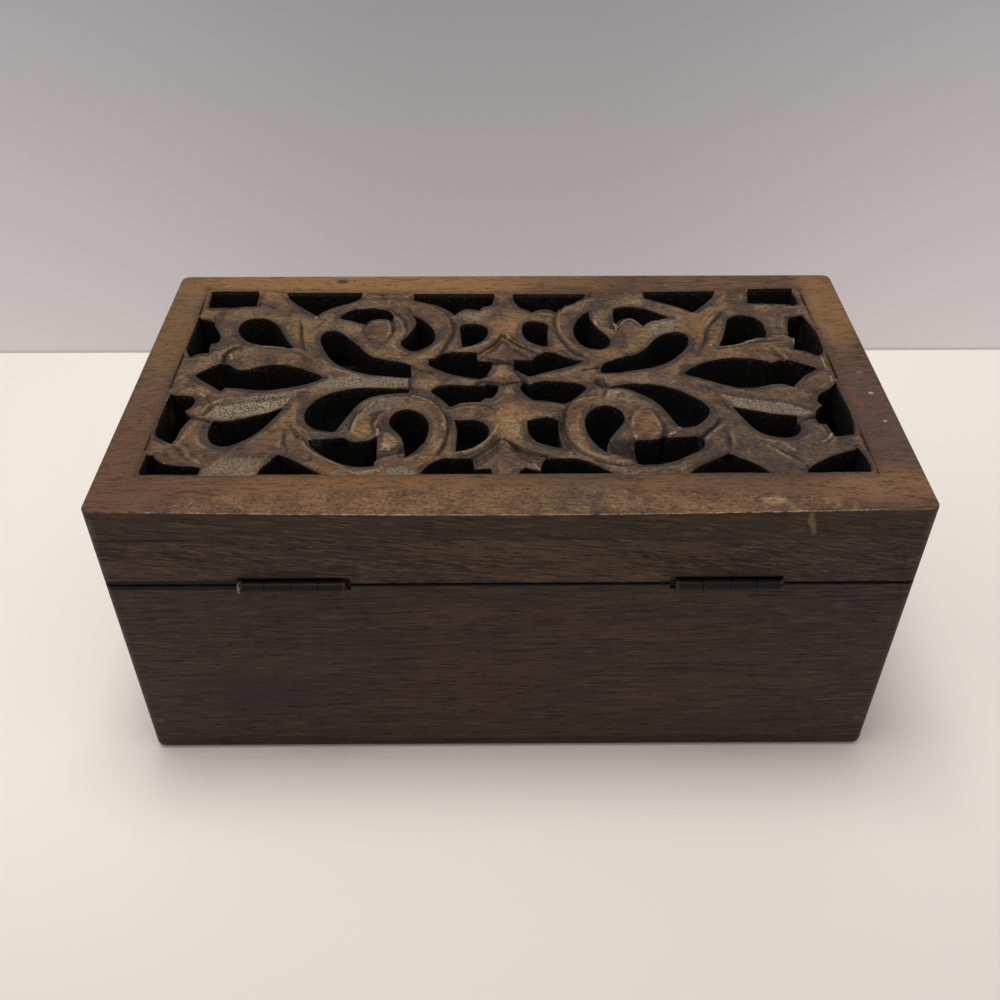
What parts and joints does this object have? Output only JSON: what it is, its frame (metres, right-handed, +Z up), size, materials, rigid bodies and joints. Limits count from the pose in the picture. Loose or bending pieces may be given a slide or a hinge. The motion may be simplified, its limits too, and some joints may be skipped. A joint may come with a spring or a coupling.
{
  "type": "carved wooden trinket box",
  "caption": "Small oblong wooden keepsake box with a hinged lid, whose top board is carved and pierced with scrolling leaves, and a dark felt lining.",
  "frame": {"origin": "centre of the underside of the bottom board, on the surface that the box stands on", "axes": "+X along the length, +Y from the opening front to the hinged back, +Z up"},
  "size_m": [0.2286, 0.1294, 0.1016],
  "materials": {
    "box_wood": "satin",
    "rail_wood": "satin",
    "carved_wood": "satin",
    "pin_wood": "matte",
    "felt": "matte",
    "hinge_steel": "satin black",
    "screw_steel": "satin black"
  },
  "bodies": {
    "box": {"bottom_board": "box_wood", "back_wall": "box_wood", "front_wall": "box_wood", "left_wall": "box_wood", "right_wall": "box_wood", "box_corner_pins": "pin_wood", "floor_felt": "felt", "back_felt": "felt", "front_felt": "felt", "left_felt": "felt", "right_felt": "felt", "left_hinge_box_leaf": "hinge_steel", "right_hinge_box_leaf": "hinge_steel", "left_hinge_pin": "hinge_steel", "right_hinge_pin": "hinge_steel", "box_leaf_screws": "screw_steel"},
    "lid": {"carved_board": "carved_wood", "lid_back_rail": "rail_wood", "lid_front_rail": "rail_wood", "lid_left_rail": "rail_wood", "lid_right_rail": "rail_wood", "lid_corner_pins": "pin_wood", "left_hinge_lid_leaf": "hinge_steel", "right_hinge_lid_leaf": "hinge_steel", "lid_leaf_screws": "screw_steel"}
  },
  "joints": [
    {"name": "lid_hinge", "type": "hinge", "parent": "box", "child": "lid", "pos_m": [0, 0.0642, 0.0742], "axis": [-1, 0, 0], "range_deg": [0, 180]}
  ]
}
